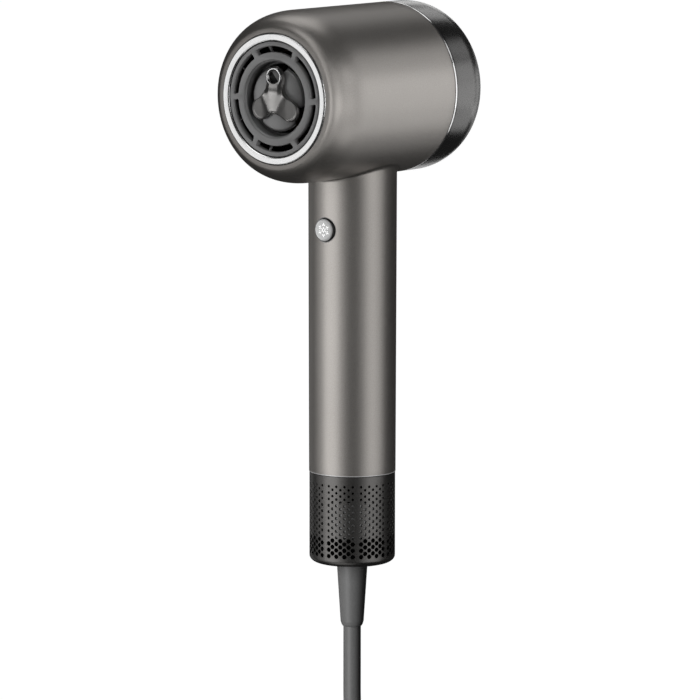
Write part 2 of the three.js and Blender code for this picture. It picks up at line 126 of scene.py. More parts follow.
def grey(value, warm=0.0):
    """Linear colour from an sRGB grey of 0 to 255, with some warmth."""
    def linear(v):
        v = v / 255
        return v / 12.92 if v <= 0.04045 else ((v + 0.055) / 1.055) ** 2.4
    return (linear(value * (1 + warm)), linear(value), linear(value * (1 - warm)), 1)


def shade(colour, factor):
    return tuple(min(1, c * factor) for c in colour[:3]) + (1,)


def set_inputs(node, **values):
    """Sets a node's inputs by name, with _ for a space."""
    for name, value in values.items():
        node.inputs[name.replace("_", " ")].default_value = value
    return node


def material(name, colour, roughness, metallic, grain, tone, rough=0.05, bump=0.0,
             stretch=(1, 1, 1), coat=0.0, specular=0.5, ior=1.45, blotch=0.0):
    """Procedural finish: fine grain in colour and roughness, a broad soft variation and a fine bump."""
    made = bpy.data.materials.new(name)
    made.use_nodes = True
    tree = made.node_tree
    shader = set_inputs(tree.nodes["Principled BSDF"], Metallic=metallic, Coat_Weight=coat,
                        Coat_Roughness=COAT_ROUGHNESS, Specular_IOR_Level=specular, IOR=ior)
    place = tree.nodes.new("ShaderNodeTexCoord")
    scale = set_inputs(tree.nodes.new("ShaderNodeMapping"), Scale=stretch)
    tree.links.new(place.outputs["Object"], scale.inputs["Vector"])

    def noise(size, detail=2.0):
        node = set_inputs(tree.nodes.new("ShaderNodeTexNoise"), Scale=size, Detail=detail)
        tree.links.new(scale.outputs["Vector"], node.inputs["Vector"])
        return node.outputs["Fac"]

    def ranged(value, low, high):
        node = set_inputs(tree.nodes.new("ShaderNodeMapRange"), From_Min=0.3, From_Max=0.7, To_Min=low,
                          To_Max=high)
        tree.links.new(value, node.inputs["Value"])
        return node.outputs["Result"]

    fine = noise(grain)
    broad = noise(BROAD_GRAIN, 1.0)
    mix = tree.nodes.new("ShaderNodeMix")
    mix.data_type = "RGBA"
    set_inputs(mix, A=shade(colour, 1 - tone), B=shade(colour, 1 + tone))
    add = tree.nodes.new("ShaderNodeMath")
    add.operation = "ADD"
    tree.links.new(ranged(fine, 0, 1 - blotch), add.inputs[0])
    tree.links.new(ranged(broad, 0, blotch), add.inputs[1])
    tree.links.new(add.outputs[0], mix.inputs["Factor"])
    tree.links.new(mix.outputs["Result"], shader.inputs["Base Color"])
    tree.links.new(ranged(fine, roughness - rough, roughness + rough), shader.inputs["Roughness"])
    if bump:
        node = set_inputs(tree.nodes.new("ShaderNodeBump"), Strength=bump, Distance=BUMP_DEPTH)
        tree.links.new(fine, node.inputs["Height"])
        tree.links.new(node.outputs["Normal"], shader.inputs["Normal"])
    return made


PAINT = material("satin_grey_metal", grey(150, 0.025), 0.4, 0.92, grain=2600, tone=0.12, bump=0.12,
                 blotch=0.15)
SILVER = material("turned_silver", grey(222), 0.24, 1.0, grain=700, tone=0.04, stretch=(1, 6, 1), bump=0.05)
BRIGHT = material("polished_trim", grey(228), 0.1, 1.0, grain=500, tone=0.02, rough=0.02)
FACE = material("outlet_face_grey", grey(150), 0.42, 0.35, grain=1800, tone=0.06, bump=0.1)
PETAL = material("petal_grey", grey(150), 0.4, 0.4, grain=1800, tone=0.05, bump=0.1)
DARK_CHROME = material("dark_chrome", grey(150, 0.01), 0.3, 1.0, grain=400, tone=0.03, rough=0.03)
# Recess wall: the outlet face's grey made darker, painted shade inside the recess.
RECESS_PAINTED_SHADE = material("recess_painted_shade", grey(118), 0.5, 0.2, grain=1500, tone=0.06, bump=0.1)
LENS = material("sensor_glass", grey(40), 0.04, 0.0, grain=300, tone=0.05, rough=0.02, coat=0.6, ior=1.6)
CAP = material("gloss_cap", grey(112, 0.005), 0.25, 0.9, grain=1200, tone=0.05, rough=0.03)
# Light grey for the thin edges about the keys and at the handle's end: a painted highlight on these edges.
EDGE_HIGHLIGHT = material("painted_edge_highlight", grey(205), 0.35, 0.4, grain=900, tone=0.03, rough=0.03)
BLACK = material("moulded_black", grey(26), 0.45, 0.0, grain=1500, tone=0.12, bump=0.2)
GUNMETAL = material("cage_gunmetal", grey(90, 0.015), 0.33, 0.9, grain=2200, tone=0.12, bump=0.12)
WEAVE = material("filter_weave", grey(150), 0.45, 0.8, grain=3800, tone=0.35, bump=0.6)
CORD = material("cord_grey", grey(128), 0.42, 0.0, grain=1200, tone=0.05, bump=0.15, specular=0.45)
RUBBER = material("rubber", grey(34), 0.7, 0.0, grain=1500, tone=0.15, bump=0.3, specular=0.3)
SNOW = material("snowflake_white", grey(250), 0.4, 0.8, grain=800, tone=0.02)
BUTTON = material("button_silver", grey(166), 0.35, 0.8, grain=1500, tone=0.04, bump=0.05)
PLUG = material("plug_grey", grey(70), 0.45, 0.0, grain=1500, tone=0.08, bump=0.25)
BRASS = material("plug_brass", (0.75, 0.6, 0.32, 1), 0.25, 1.0, grain=900, tone=0.06, bump=0.05)
STEEL = material("ground_steel", grey(180), 0.32, 1.0, grain=900, tone=0.08, bump=0.1)
ALUMINIUM = material("machined_aluminium", grey(200), 0.3, 1.0, grain=900, tone=0.06, bump=0.1)
COPPER = material("winding_copper", (0.62, 0.27, 0.13, 1), 0.35, 1.0, grain=2500, tone=0.2, bump=0.5)
BOARD = material("circuit_board", (0.02, 0.11, 0.05, 1), 0.4, 0.0, grain=600, tone=0.3, bump=0.1)
MICA = material("mica", (0.45, 0.38, 0.27, 1), 0.6, 0.0, grain=250, tone=0.25, bump=0.2)
WIRE = material("heater_wire", grey(130, 0.05), 0.45, 0.9, grain=900, tone=0.2, bump=0.2)


def painted_reflection_glass(name, dark, light, across, through):
    """Glass with a dark half and a lighter half, parted by a plane across a direction, through a point; the
    lighter half is a painted reflection.
    """
    made = material(name, light, 0.3, 0.0, grain=300, tone=0.05, rough=0.02, specular=0.1)
    tree = made.node_tree
    place = tree.nodes.new("ShaderNodeTexCoord")
    dot = tree.nodes.new("ShaderNodeVectorMath")
    dot.operation = "DOT_PRODUCT"
    dot.inputs[1].default_value = across
    middle = Vector(across).dot(Vector(through) * MM)
    edge = set_inputs(tree.nodes.new("ShaderNodeMapRange"), From_Min=middle - SPLIT_SOFTNESS,
                      From_Max=middle + SPLIT_SOFTNESS)
    mix = tree.nodes.new("ShaderNodeMix")
    mix.data_type = "RGBA"
    set_inputs(mix, A=dark)
    tree.links.new(place.outputs["Object"], dot.inputs[0])
    tree.links.new(dot.outputs["Value"], edge.inputs["Value"])
    tree.links.new(edge.outputs["Result"], mix.inputs["Factor"])
    shader = tree.nodes["Principled BSDF"]
    tree.links.new(shader.inputs["Base Color"].links[0].from_socket, mix.inputs["B"])
    tree.links.new(mix.outputs["Result"], shader.inputs["Base Color"])
    return made


# Sensor window: dark glass whose upper right half is light grey, a painted reflection parted along a slanted
# plane.
REFLECTION_SPLIT = (0, 0, HEAD_Z + 9.75)
WINDOW_REFLECTION = painted_reflection_glass("sensor_window_painted_reflection", grey(48), grey(170), (0.775, 0, 0.632), REFLECTION_SPLIT)

CAD_FINISH = {
    "body_paint": PAINT, "trim_bright": BRIGHT, "cap_gloss": CAP, "outlet_silver": SILVER,
    "outlet_grey": FACE, "petal_grey": PETAL, "cover_dark_chrome": DARK_CHROME, "lens_dark": LENS,
    "button_silver": BUTTON, "cage_dark": GUNMETAL, "mesh_steel": WEAVE, "cord_grey": CORD,
    "plug_plastic": PLUG, "plastic_black": BLACK, "rubber_black": RUBBER, "mica": MICA,
    "heater_wire": WIRE, "steel": STEEL, "aluminium_part": ALUMINIUM, "copper": COPPER,
    "board": BOARD, "brass": BRASS,
}


def dress_cad():
    for part in frame["record"]["subparts"]:
        mesh = frame["nodes"][part["node"]].data
        mesh.materials.clear()
        mesh.materials.append(CAD_FINISH[part["material_slot"]])


dress_cad()


# ---- mesh helpers; from here on all sizes are in millimetres ----
SHARP = 40
MERGE = 1e-4


def smooth_faces(bm, sharp):
    """Smooth shading but for the edges that turn by more than the sharp angle, in degrees."""
    limit = math.radians(sharp)
    for edge in bm.edges:
        edge.smooth = edge.calc_face_angle(math.pi) < limit
    for face in bm.faces:
        face.smooth = True


def metre_mesh(name, bm):
    """New mesh in metres from a bmesh in millimetres, which is then freed."""
    bmesh.ops.scale(bm, vec=Vector((MM, MM, MM)), verts=bm.verts)
    mesh = bpy.data.meshes.new(name)
    bm.to_mesh(mesh)
    bm.free()
    return mesh


def finish_mesh(name, bm, look, slot, sharp=SHARP, body="dryer", replaces=None):
    """Makes the piece from its bmesh, outward facing, smooth but for its sharp edges."""
    bmesh.ops.remove_doubles(bm, verts=bm.verts, dist=MERGE)
    bmesh.ops.recalc_face_normals(bm, faces=bm.faces)
    smooth_faces(bm, sharp)
    mesh = metre_mesh(name, bm)
    mesh.materials.append(look)
    piece = add_object(name, mesh)
    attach(piece, body)
    if replaces:
        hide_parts(replaces)
    return piece


def skin(bm, rows, row_loop=True, line_loop=True):
    """Quads between neighbouring rows of vertices; each flag closes the skin in one direction."""
    for j in range(len(rows) if row_loop else len(rows) - 1):
        a, b = rows[j], rows[(j + 1) % len(rows)]
        count = len(a)
        for i in range(count if line_loop else count - 1):
            k = (i + 1) % count
            bm.faces.new([a[i], a[k], b[k], b[i]])


def capped(bm, rings):
    """Skin up a stack of rings, closed by a face at either end."""
    skin(bm, rings, row_loop=False)
    bm.faces.new(rings[0])
    bm.faces.new(rings[-1][::-1])


def rounded(corners, closed=True, steps=5):
    """Polyline through corners (x, y, radius), each corner turned with its radius."""
    count = len(corners)
    line = []
    for i, (x, y, radius) in enumerate(corners):
        here = Vector((x, y))
        inner = closed or 0 < i < count - 1
        if not radius or not inner:
            line.append((x, y))
            continue
        before = Vector(corners[i - 1][:2]) - here
        after = Vector(corners[(i + 1) % count][:2]) - here
        half = before.angle(after) / 2
        if abs(half - math.pi / 2) < 0.02:
            line.append((x, y))
            continue
        reach = min(radius / math.tan(half), 0.48 * before.length, 0.48 * after.length)
        radius = reach * math.tan(half)
        start = here + before.normalized() * reach
        middle = here + (before.normalized() + after.normalized()).normalized() * radius / math.sin(half)
        first = start - middle
        turn = math.pi - 2 * half
        side = 1 if before.x * after.y - before.y * after.x < 0 else -1
        for k in range(steps + 1):
            angle = side * turn * k / steps
            line.append((
                middle.x + first.x * math.cos(angle) - first.y * math.sin(angle),
                middle.y + first.x * math.sin(angle) + first.y * math.cos(angle),
            ))
    return line


def spin(line, around, steps, closed, centre):
    """Turned solid from a line of (radius, height) about Z, or about Y with the height along Y."""
    bm = bmesh.new()
    rings = []
    for j in range(steps):
        angle = 2 * math.pi * j / steps
        c, s = math.cos(angle), math.sin(angle)
        ring = []
        for r, h in line:
            place = (r * c, r * s, h) if around == "Z" else (r * c, h, r * s)
            ring.append(bm.verts.new(Vector(place) + Vector(centre)))
        rings.append(ring)
    count = len(line)
    for j in range(steps):
        a, b = rings[j], rings[(j + 1) % steps]
        for i in range(count if closed else count - 1):
            k = (i + 1) % count
            corners = [a[i], a[k]] + [b[m] for m in (k, i) if line[m][0] > MERGE]
            if len(corners) > 2:
                bm.faces.new(corners)
    bmesh.ops.remove_doubles(bm, verts=bm.verts, dist=MERGE)
    return bm


def turned(name, corners, look, around="Z", steps=128, centre=(0, 0, 0), closed=True, **kept):
    return finish_mesh(name, spin(rounded(corners, closed), around, steps, closed, centre), look, **kept)


def head_turned(name, corners, look, **kept):
    """Turned about the head's axis; the height of a corner is its place along Y."""
    return turned(name, corners, look, "Y", 160, (0, 0, HEAD_Z), **kept)


def arc_points(across, along, steps):
    """Quarter ellipse as (across, along) offsets, from the side round to the end."""
    angles = [math.pi / 2 * i / steps for i in range(steps + 1)]
    return [(across * math.cos(a), along * math.sin(a)) for a in angles]


def evaluated_mesh(thing):
    """New mesh of an object with its modifiers applied, or of a curve's surface."""
    bpy.context.view_layer.update()
    depsgraph = bpy.context.evaluated_depsgraph_get()
    return bpy.data.meshes.new_from_object(thing.evaluated_get(depsgraph), depsgraph=depsgraph)


def apply_modifiers(piece):
    new = evaluated_mesh(piece)
    old = piece.data
    piece.modifiers.clear()
    piece.data = new
    bpy.data.meshes.remove(old)
    bm = bmesh.new()
    bm.from_mesh(new)
    smooth_faces(bm, SHARP)
    bm.to_mesh(new)
    bm.free()


def cut_with(piece, cutter_bm):
    """Exact boolean cut, applied; the cutter is in millimetres."""
    bmesh.ops.recalc_face_normals(cutter_bm, faces=cutter_bm.faces)
    mesh = metre_mesh("cutter", cutter_bm)
    cutter = add_object("cutter", mesh)
    modifier = piece.modifiers.new("cut", "BOOLEAN")
    modifier.operation = "DIFFERENCE"
    modifier.solver = "EXACT"
    modifier.object = cutter
    apply_modifiers(piece)
    bpy.data.objects.remove(cutter)
    bpy.data.meshes.remove(mesh)


def prism(outline, low, high, along="Y"):
    """Solid between two planes; the outline is (x, z) for a solid along Y, (x, y) along Z."""
    bm = bmesh.new()

    def place(x, v, level):
        return (x, level, v) if along == "Y" else (x, v, level)

    capped(bm, [[bm.verts.new(place(x, v, level)) for x, v in outline] for level in (low, high)])
    return bm


def soft_box(name, size, edge, centre, look, **kept):
    """Box with rounded edges."""
    bm = bmesh.new()
    bmesh.ops.create_cube(bm, size=1)
    bmesh.ops.scale(bm, vec=Vector(size), verts=bm.verts)
    bmesh.ops.bevel(bm, geom=bm.edges[:], offset=edge, segments=3, affect="EDGES", profile=0.5)
    bmesh.ops.translate(bm, vec=Vector(centre), verts=bm.verts)
    return finish_mesh(name, bm, look, **kept)


def circle(radius, steps=48, centre=(0, 0)):
    return [(centre[0] + radius * math.cos(2 * math.pi * i / steps),
             centre[1] + radius * math.sin(2 * math.pi * i / steps)) for i in range(steps)]


# ---- cord: the route of the part's source, then the hank's turns, then the tail ----
CORD_D = 7.8
HANK_TURNS = 5
HANK_BEND = 24.0
HANK_RUN = 87.6
HANK_TOP = -232.0
HANK_SIDE = 19.5
GUARD_END = -130.6
PLUG_X, PLUG_Y, PLUG_TOP = 34.5, -24.0, -286.2
LEAD = [
    (0, 0, GUARD_END), (0, 0, -140), (0, 0, -150), (0, 0, -160), (0, 0, -168), (-0.7, -0.8, -176.2),
    (-2.6, -3.2, -184), (-5.7, -7, -190.7), (-9.8, -12, -196), (-13.8, -17, -201.2),
    (-16.9, -20.8, -207.9), (-18.8, -23.2, -215.7), (-19.5, -24, -223.9),
]
TAIL = [
    (19.5, -24, -236), (20.4, -24, -243.5), (22.9, -24, -250.6), (27, -24, -256.9), (31.1, -24, -263.3),
    (33.6, -24, -270.4), (34.5, -24, -277.9), (34.5, -24, -286.2),
]


def smooth_line(points):
    """Points on a Catmull-Rom curve through the given points."""
    steps = 6
    line = []
    ends = [points[0] * 2 - points[1]] + points + [points[-1] * 2 - points[-2]]
    for i in range(1, len(ends) - 2):
        a, b, c, d = ends[i - 1:i + 3]
        for k in range(steps):
            t = k / steps
            line.append(0.5 * (2 * b + (c - a) * t + (2 * a - 5 * b + 4 * c - d) * t ** 2
                               + (3 * b - a - 3 * c + d) * t ** 3))
    return line + [points[-1]]


def hank_line():
    """Racetrack turns side by side: down the near run and round, then the same turned over, back up."""
    fold_steps = 16
    run_steps = 5
    half = [(-HANK_BEND, -HANK_RUN * k / run_steps) for k in range(run_steps)]
    half += [(-HANK_BEND * math.cos(a), -HANK_RUN - HANK_BEND * math.sin(a))
             for a in (math.pi * k / fold_steps for k in range(fold_steps))]
    points = [Vector(p) for p in half + [(-y, -HANK_RUN - z) for y, z in half]]
    lap = 2 * (HANK_RUN + math.pi * HANK_BEND)
    line = []
    for turn in range(HANK_TURNS):
        travelled = 0.0
        for i, p in enumerate(points):
            if i:
                travelled += (p - points[i - 1]).length
            across = (turn + travelled / lap - HANK_TURNS / 2) * CORD_D
            line.append(Vector((across, p.x, HANK_TOP + p.y)))
    return line


def make_cord():
    line = smooth_line([Vector(p) for p in LEAD]) + hank_line() + [Vector((HANK_SIDE, -HANK_BEND, HANK_TOP))]
    line += smooth_line([Vector(p) for p in TAIL])
    curve = bpy.data.curves.new("mains_cord", "CURVE")
    curve.dimensions = "3D"
    curve.bevel_depth = CORD_D / 2 * MM
    curve.bevel_resolution = 7
    curve.use_fill_caps = True
    spline = curve.splines.new("POLY")
    spline.points.add(len(line) - 1)
    for point, place in zip(spline.points, line):
        point.co = (*(place * MM), 1)
    spline.use_smooth = True
    curve.materials.append(CORD)
    cord = add_object("mains_cord", curve)
    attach(cord, "dryer")
    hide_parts("cord_lead", "cord_hank", "cord_tail")
    return cord, sum((b - a).length for a, b in zip(line, line[1:])) * MM


cord, cord_length = make_cord()


# ---- head shell, rear trim and cap ----
HEAD_R = 37.7
FRONT_Y = -54.2
LIP_R = 28.75
SHOULDER_ALONG = 18.5
SHOULDER_POWER = 2.33
LIP_EDGE_R = 31.1
SLOPE_FROM = (34.05, -51.65)
SLOPE_BEND = (32.6, -53.44)
SLOPE_TO = (LIP_EDGE_R, FRONT_Y + 0.2)
TRIM_Y = 25.3
TRIM_WIDTH = 1.0
HEAD_WALL = 1.8
NECK_HOLE_R = 16.3
CAP_ROUND = (9.0, 13.0)
CAP_STRAIGHT_TO = 37.3
CAP_CROWN = 0.9


def shoulder():
    """Barrel rounding, then a slope to the flat lip about the outlet, as (radius, y)."""
    steps = 34
    across = HEAD_R - LIP_R
    line = []
    for i in range(steps + 1):
        a = math.pi / 2 * i / steps
        u, v = math.cos(a) ** (2 / SHOULDER_POWER), math.sin(a) ** (2 / SHOULDER_POWER)
        if LIP_R + across * u > SLOPE_FROM[0]:
            line.append((LIP_R + across * u, FRONT_Y + SHOULDER_ALONG * (1 - v)))
    for k in range(9):
        t = k / 8
        line.append(tuple((1 - t) ** 2 * a + 2 * t * (1 - t) * b + t * t * c
                          for a, b, c in zip(SLOPE_FROM, SLOPE_BEND, SLOPE_TO)))
    line += [(LIP_EDGE_R - 0.35, FRONT_Y + 0.1), (LIP_EDGE_R - 0.9, FRONT_Y + 0.05), (LIP_R + 0.5, FRONT_Y)]
    return line + [(LIP_R, FRONT_Y)]


def head_shell():
    rear = TRIM_Y - 0.05
    start = FRONT_Y + SHOULDER_ALONG
    barrel = [rear - 0.6 + (start - rear + 0.6) * k / 12 for k in range(12)]
    outer = [(HEAD_R - 0.1, rear, 0.1)] + [(HEAD_R, y, 0) for y in barrel]
    outer += [(r, y, 0) for r, y in shoulder()]
    inside = [(LIP_R - 0.03, FRONT_Y + 0.25, 0), (LIP_R - 0.03, FRONT_Y + 3, 0.2)]
    inside += [(HEAD_R - 8 + a, start - b, 0) for a, b in reversed(arc_points(6.2, 15, 8))]
    inside += [(HEAD_R - HEAD_WALL, rear, 0.2)]
    shell = head_turned("head_housing", outer + inside, PAINT, replaces="head_shell", slot="body_paint")
    cut_with(shell, prism(circle(NECK_HOLE_R), HEAD_Z - 45, HEAD_Z - 20, "Z"))


def rear_cap():
    """Cap with an elliptical edge and a slightly crowned end."""
    front = TRIM_Y + TRIM_WIDTH + 0.1
    across, along = CAP_ROUND
    core = HEAD_R - across
    end = CAP_STRAIGHT_TO + along
    outer = [(HEAD_R - 0.05, front, 0.1), (HEAD_R, front + 1, 0)]
    outer += [(core + a, CAP_STRAIGHT_TO + b, 0) for a, b in arc_points(across, along, 28)]
    outer += [(core * k, end + CAP_CROWN * (1 - k * k), 0) for k in (0.95, 0.8, 0.6, 0.4, 0.2, 0)]
    inner = [(0, end - HEAD_WALL, 0)]
    inner += [(core - 0.5 + a, CAP_STRAIGHT_TO + b, 0)
              for a, b in reversed(arc_points(across - 1.5, along - 2, 12))]
    inner += [(HEAD_R - 2, front, 0.2)]
    head_turned("rear_cover", outer + inner, CAP, replaces="rear_cap", slot="cap_gloss")


head_shell()
rear_cap()
head_turned("rear_bright_ring", [
    (HEAD_R - 1.6, TRIM_Y, 0.1), (HEAD_R + 0.03, TRIM_Y, 0.1),
    (HEAD_R + 0.03, TRIM_Y + TRIM_WIDTH, 0.1), (HEAD_R - 1.6, TRIM_Y + TRIM_WIDTH, 0.1),
], BRIGHT, replaces="rear_trim_ring", slot="trim_bright")


# ---- air outlet ----
FACE_Y = -54.1
FACE_R = 24.95
FACE_DEPTH = 2.6
SLOT_IN, SLOT_OUT = 20.3, 22.9
SLOTS = 6
BRIDGE = 2.3
RECESS = 16.2
RECESS_LIP = RECESS + 0.8
RECESS_STEP, RECESS_BACK = -48.5, -41.2
RING_IN, RING_OUT, RING_BACK = 25.25, 28.6, -50
RIB_THICK, RIB_DEEP = 0.32, 1.6
# angle in degrees, depth of the outer end, how much deeper the inner end lies
RIBS = ((99.5, 0.6, 1.9), (260.5, 0.6, 1.9), (147, 1.6, 0), (207, 1.6, 0), (33, 3.2, 0), (327, 3.2, 0))


def outlet_ring():
    """Turned ring: a flat band between two rounded edges, the inner one lower."""
    head_turned("outlet_bright_ring", [
        (RING_IN, FACE_Y + 0.4, 0), (RING_IN, FACE_Y - 0.25, 0.2), (RING_IN + 0.45, FACE_Y - 0.6, 0.25),
        (RING_OUT - 0.55, FACE_Y - 0.72, 0.4), (RING_OUT, FACE_Y - 0.2, 0.3), (RING_OUT, RING_BACK, 0.2),
        (RING_IN, RING_BACK, 0.2),
    ], SILVER, replaces="outlet_trim_ring", slot="outlet_silver")


def slot_outline(middle):
    """Arc slot with rounded corners, as (x, z) points about the head's axis."""
    corner = 0.55
    outline = []
    for radius, sign in ((SLOT_OUT, 1), (SLOT_IN, -1)):
        inner = radius - sign * corner
        turn = math.pi / SLOTS - BRIDGE / 2 / radius - corner / inner
        outline += [(radius * math.cos(middle + turn * t), radius * math.sin(middle + turn * t))
                    for t in (sign * (-1 + 2 * k / 20) for k in range(21))]
        end = middle + sign * turn
        x, z = inner * math.cos(end), inner * math.sin(end)
        first = end + (0 if sign > 0 else math.pi)
        outline += [(x + corner * math.cos(first + math.pi / 2 * k / 4),
                     z + corner * math.sin(first + math.pi / 2 * k / 4)) for k in (1, 2, 3, 4)]
    return outline


def filled_plate(name, outlines, front, depth, bevel, look, **kept):
    """Flat plate with holes in the XZ plane and rounded edges, its front face towards -Y."""
    curve = bpy.data.curves.new(name, "CURVE")
    curve.dimensions = "2D"
    curve.fill_mode = "BOTH"
    curve.extrude = (depth / 2 - bevel) * MM
    curve.bevel_depth = bevel * MM
    curve.bevel_resolution = 2
    curve.offset = -bevel * MM
    for outline in outlines:
        spline = curve.splines.new("POLY")
        spline.points.add(len(outline) - 1)
        spline.use_cyclic_u = True
        for point, (x, y) in zip(spline.points, outline):
            point.co = (x * MM, y * MM, 0, 1)
    flat = add_object(name, curve)
    mesh = evaluated_mesh(flat)
    bpy.data.objects.remove(flat)
    bpy.data.curves.remove(curve)
    bm = bmesh.new()
    bm.from_mesh(mesh)
    bpy.data.meshes.remove(mesh)
    place = Matrix.Translation(Vector((0, front + depth / 2, HEAD_Z))) @ Matrix.Rotation(math.pi / 2, 4, "X")
    bmesh.ops.scale(bm, vec=Vector((1 / MM,) * 3), verts=bm.verts)
    bmesh.ops.transform(bm, matrix=place, verts=bm.verts)
    finish_mesh(name, bm, look, sharp=35, **kept)


def outlet_face():
    slots = [slot_outline(2 * math.pi * (i + 0.5) / SLOTS) for i in range(SLOTS)]
    filled_plate("outlet_face", [circle(FACE_R, 160), circle(RECESS_LIP, 128)] + slots, FACE_Y, FACE_DEPTH,
                 0.3, FACE, replaces="outlet_grille", slot="outlet_grey")
    head_turned("outlet_recess_rim", [
        (RECESS_LIP + 0.02, FACE_Y + 0.25, 0.1), (RECESS + 0.15, FACE_Y + 0.85, 0.3),
        (RECESS + 0.15, FACE_Y + 1.3, 0.1), (RECESS_LIP + 0.02, FACE_Y + 1.3, 0.1),
    ], FACE, slot="outlet_grey")
    # The recess wall is darker than the face of the same grey plastic: painted shade in the recess.
    head_turned("outlet_recess_wall", [
        (RECESS_LIP + 0.02, FACE_Y + 1.4, 0.1), (RECESS, FACE_Y + 1.35, 0.2), (RECESS, RECESS_STEP, 0.4),
        (RECESS - 1.1, RECESS_STEP + 0.3, 0.3), (RECESS - 1.2, RECESS_BACK, 0.1),
        (RECESS_LIP + 0.02, RECESS_BACK, 0.1),
    ], RECESS_PAINTED_SHADE, slot="outlet_grey")
    for i, (angle, drop, slant) in enumerate(RIBS):
        outlet_rib(i, math.radians(angle), drop, slant)


def outlet_rib(i, angle, drop, slant):
    """Thin rib across a slot; its inner end lies deeper by the slant."""
    start, end = SLOT_IN - 0.3, SLOT_OUT + 0.3
    corners = [(start, drop + slant), (end, drop), (end, drop + RIB_DEEP), (start, drop + slant + RIB_DEEP)]
    bm = bmesh.new()
    capped(bm, [[bm.verts.new((r, FACE_Y + depth, side * RIB_THICK / 2)) for r, depth in corners]
                for side in (-1, 1)])
    bmesh.ops.bevel(bm, geom=bm.edges[:], offset=0.07, segments=2, affect="EDGES", profile=0.5)
    place = Matrix.Translation(Vector((0, 0, HEAD_Z))) @ Matrix.Rotation(-angle, 4, "Y")
    bmesh.ops.transform(bm, matrix=place, verts=bm.verts)
    finish_mesh(f"outlet_rib_{i + 1}", bm, FACE, slot="outlet_grey")


def height_field(name, reach, height, low, look, rings=26, steps=180, **kept):
    """Closed relief: reach(angle) is the outline, height(x, z, share) its front, at -Y; share is 0 to 1."""
    bm = bmesh.new()
    middle = bm.verts.new((0, height(0, 0, 0), HEAD_Z))
    back = bm.verts.new((0, low, HEAD_Z))
    spokes = []
    for j in range(steps):
        angle = 2 * math.pi * j / steps
        edge = reach(angle)
        spoke = []
        for i in range(1, rings + 1):
            share = 1 - (1 - i / rings) ** 1.7
            x, z = share * edge * math.cos(angle), share * edge * math.sin(angle)
            spoke.append(bm.verts.new((x, height(x, z, share), HEAD_Z + z)))
        spoke.append(bm.verts.new((edge * math.cos(angle), low, HEAD_Z + edge * math.sin(angle))))
        spokes.append(spoke)
    skin(bm, spokes, line_loop=False)
    for a, b in zip(spokes, spokes[1:] + spokes[:1]):
        bm.faces.new([middle, a[0], b[0]])
        bm.faces.new([back, b[-1], a[-1]])
    return finish_mesh(name, bm, look, **kept)


def smooth_step(value, low, high):
    share = max(0.0, min(1.0, (value - low) / (high - low)))
    return share * share * (3 - 2 * share)


THIRD = 2 * math.pi / 3
PETAL_R = 14.2
PETAL_Y, PETAL_BACK = -52.2, -50.6
ARM_ANGLES = [math.pi / 2 + THIRD * k for k in range(3)]
ARM_REACH = 9.55
ARM_END = 4.65
ARM_SWEEP = 1.72
COVER_Y, COVER_BACK = -55.6, -52.5
WINDOW_R = 2.9
WINDOW_Y = -53.6
WINDOW_AT = (0, 0, HEAD_Z + ARM_REACH)


def lobe_turn(angle, middle):
    """Angle from the nearest of three middles, one of which is given."""
    return (angle - middle + THIRD / 2) % THIRD - THIRD / 2


def petal_reach(angle):
    """Three broad petals, one of them down, parted by notches under the arms."""
    return PETAL_R - 2.8 * smooth_step(abs(math.degrees(lobe_turn(angle, -math.pi / 2))), 38, 50)


def petal_height(x, z, share):
    """Each petal bulges and has a rounded edge; creases run in under the arms."""
    r = math.hypot(x, z)
    turn = lobe_turn(math.atan2(z, x), -math.pi / 2)
    bulge = 0.75 * math.cos(1.5 * turn) * min(1, r / 6)
    edge = 0.8 * smooth_step(share, 0.93, 1.0) ** 2
    return PETAL_Y - bulge + 1.3 * (r / PETAL_R) ** 3 + edge


def cover_outline():
    """Half an arm's outline as (angle from the arm, reach): its round end, then the hollow flank."""
    bend = Vector((math.cos(THIRD / 2), math.sin(THIRD / 2))) * 3.9
    sweep = [ARM_SWEEP * k / 24 for k in range(25)]
    points = [Vector((ARM_REACH + ARM_END * math.cos(a), ARM_END * math.sin(a))) for a in sweep]
    start = points[-1]
    mirrored = Vector((start.x * math.cos(THIRD) + start.y * math.sin(THIRD),
                       start.x * math.sin(THIRD) - start.y * math.cos(THIRD)))
    for k in range(1, 13):
        t = k / 24
        points.append((1 - t) ** 2 * start + 2 * t * (1 - t) * bend + t * t * mirrored)
    return [(math.atan2(p.y, p.x), p.length) for p in points]


OUTLINE = cover_outline()


def cover_reach(angle):
    turn = abs(lobe_turn(angle, math.pi / 2))
    for (a0, r0), (a1, r1) in zip(OUTLINE, OUTLINE[1:]):
        if a0 <= turn <= a1:
            return r0 + (r1 - r0) * (turn - a0) / (a1 - a0)
    return OUTLINE[-1][1]


def cover_height(x, z, share):
    """Broad crown down the middle, from which the arms fall away; a fine T ridge and a thin rim."""
    level = COVER_Y + 0.5 * smooth_step(abs(x), 0, 7.0)
    for arm in ARM_ANGLES[1:]:
        along = x * math.cos(arm) + z * math.sin(arm)
        level += 0.15 * max(0, along - 4.0) * smooth_step(along, 3.0, 6.5)
    level += 0.13 * max(0, z - 2.0) * smooth_step(z, 1.5, 5.0)
    level += 0.6 * smooth_step(abs(x), 2.2, 4.6) * smooth_step(z, 1.0, 6.0)
    bar = math.exp(-(((z + 5.4) / 0.35) ** 2)) * (1 - smooth_step(abs(x), 2.6, 4.0))
    stem = math.exp(-((x / 0.7) ** 2)) * smooth_step(-z, 5.2, 6.4)
    level -= 0.12 * bar + 0.3 * stem
    level -= 0.22 * math.exp(-(((share - 0.95) / 0.025) ** 2))
    return level + 0.4 * smooth_step(share, 0.968, 1.0) ** 2


